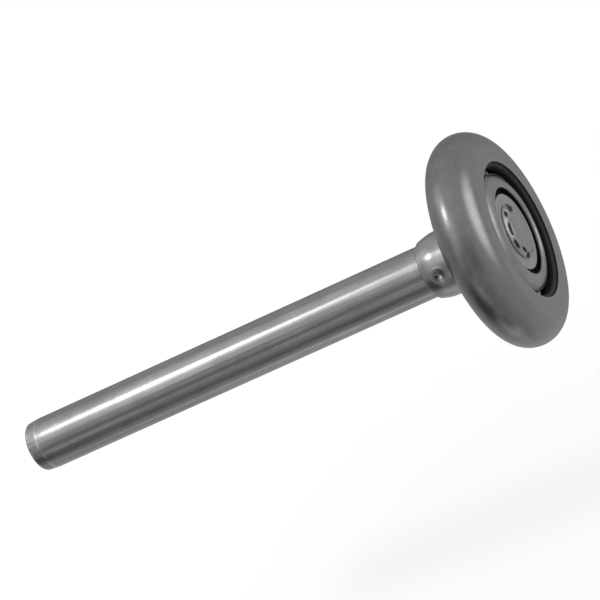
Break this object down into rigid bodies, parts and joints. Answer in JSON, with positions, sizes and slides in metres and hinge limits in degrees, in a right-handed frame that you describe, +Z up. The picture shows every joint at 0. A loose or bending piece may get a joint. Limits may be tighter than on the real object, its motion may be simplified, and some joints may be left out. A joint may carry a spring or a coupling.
{
  "type": "garage door roller",
  "caption": "Steel track wheel on a ball race, fixed to the end of a long plain stem that slides in a garage door hinge and lets the wheel run in the track.",
  "frame": {"origin": "centre of the wheel, on its axis at the tread's mid-plane", "axes": "+Y along the stem, away from the wheel; the hub face looks to -Y; +Z up as the roller runs in an upright track"},
  "size_m": [0.046, 0.1181, 0.046],
  "materials": {
    "stem_steel": "zinc-plated cold-drawn rod, bright, with fine lines along it",
    "race_steel": "zinc-plated turned steel, satin",
    "wheel_steel": "zinc-plated turned steel, smooth satin",
    "ball_steel": "polished hardened steel under a thin film of grease"
  },
  "bodies": {
    "spindle": {"stem": "stem_steel", "hub_washer": "race_steel", "front_race": "race_steel", "rear_race": "race_steel"},
    "wheel": {"wheel": "wheel_steel"},
    "balls": {"ball_01": "ball_steel", "ball_02": "ball_steel", "ball_03": "ball_steel", "ball_04": "ball_steel", "ball_05": "ball_steel", "ball_06": "ball_steel", "ball_07": "ball_steel", "ball_08": "ball_steel", "ball_09": "ball_steel", "ball_10": "ball_steel", "ball_11": "ball_steel", "ball_12": "ball_steel", "ball_13": "ball_steel"}
  },
  "joints": [
    {"name": "wheel_spin", "type": "hinge", "parent": "spindle", "child": "wheel", "pos_m": [0, 0, 0], "axis": [0, 1, 0], "continuous": true},
    {"name": "ball_travel", "type": "hinge", "parent": "spindle", "child": "balls", "pos_m": [0, 0, 0], "axis": [0, 1, 0], "continuous": true}
  ],
  "couplings": [
    {"joint": "ball_travel", "follows": "wheel_spin", "ratio": 0.618}
  ]
}
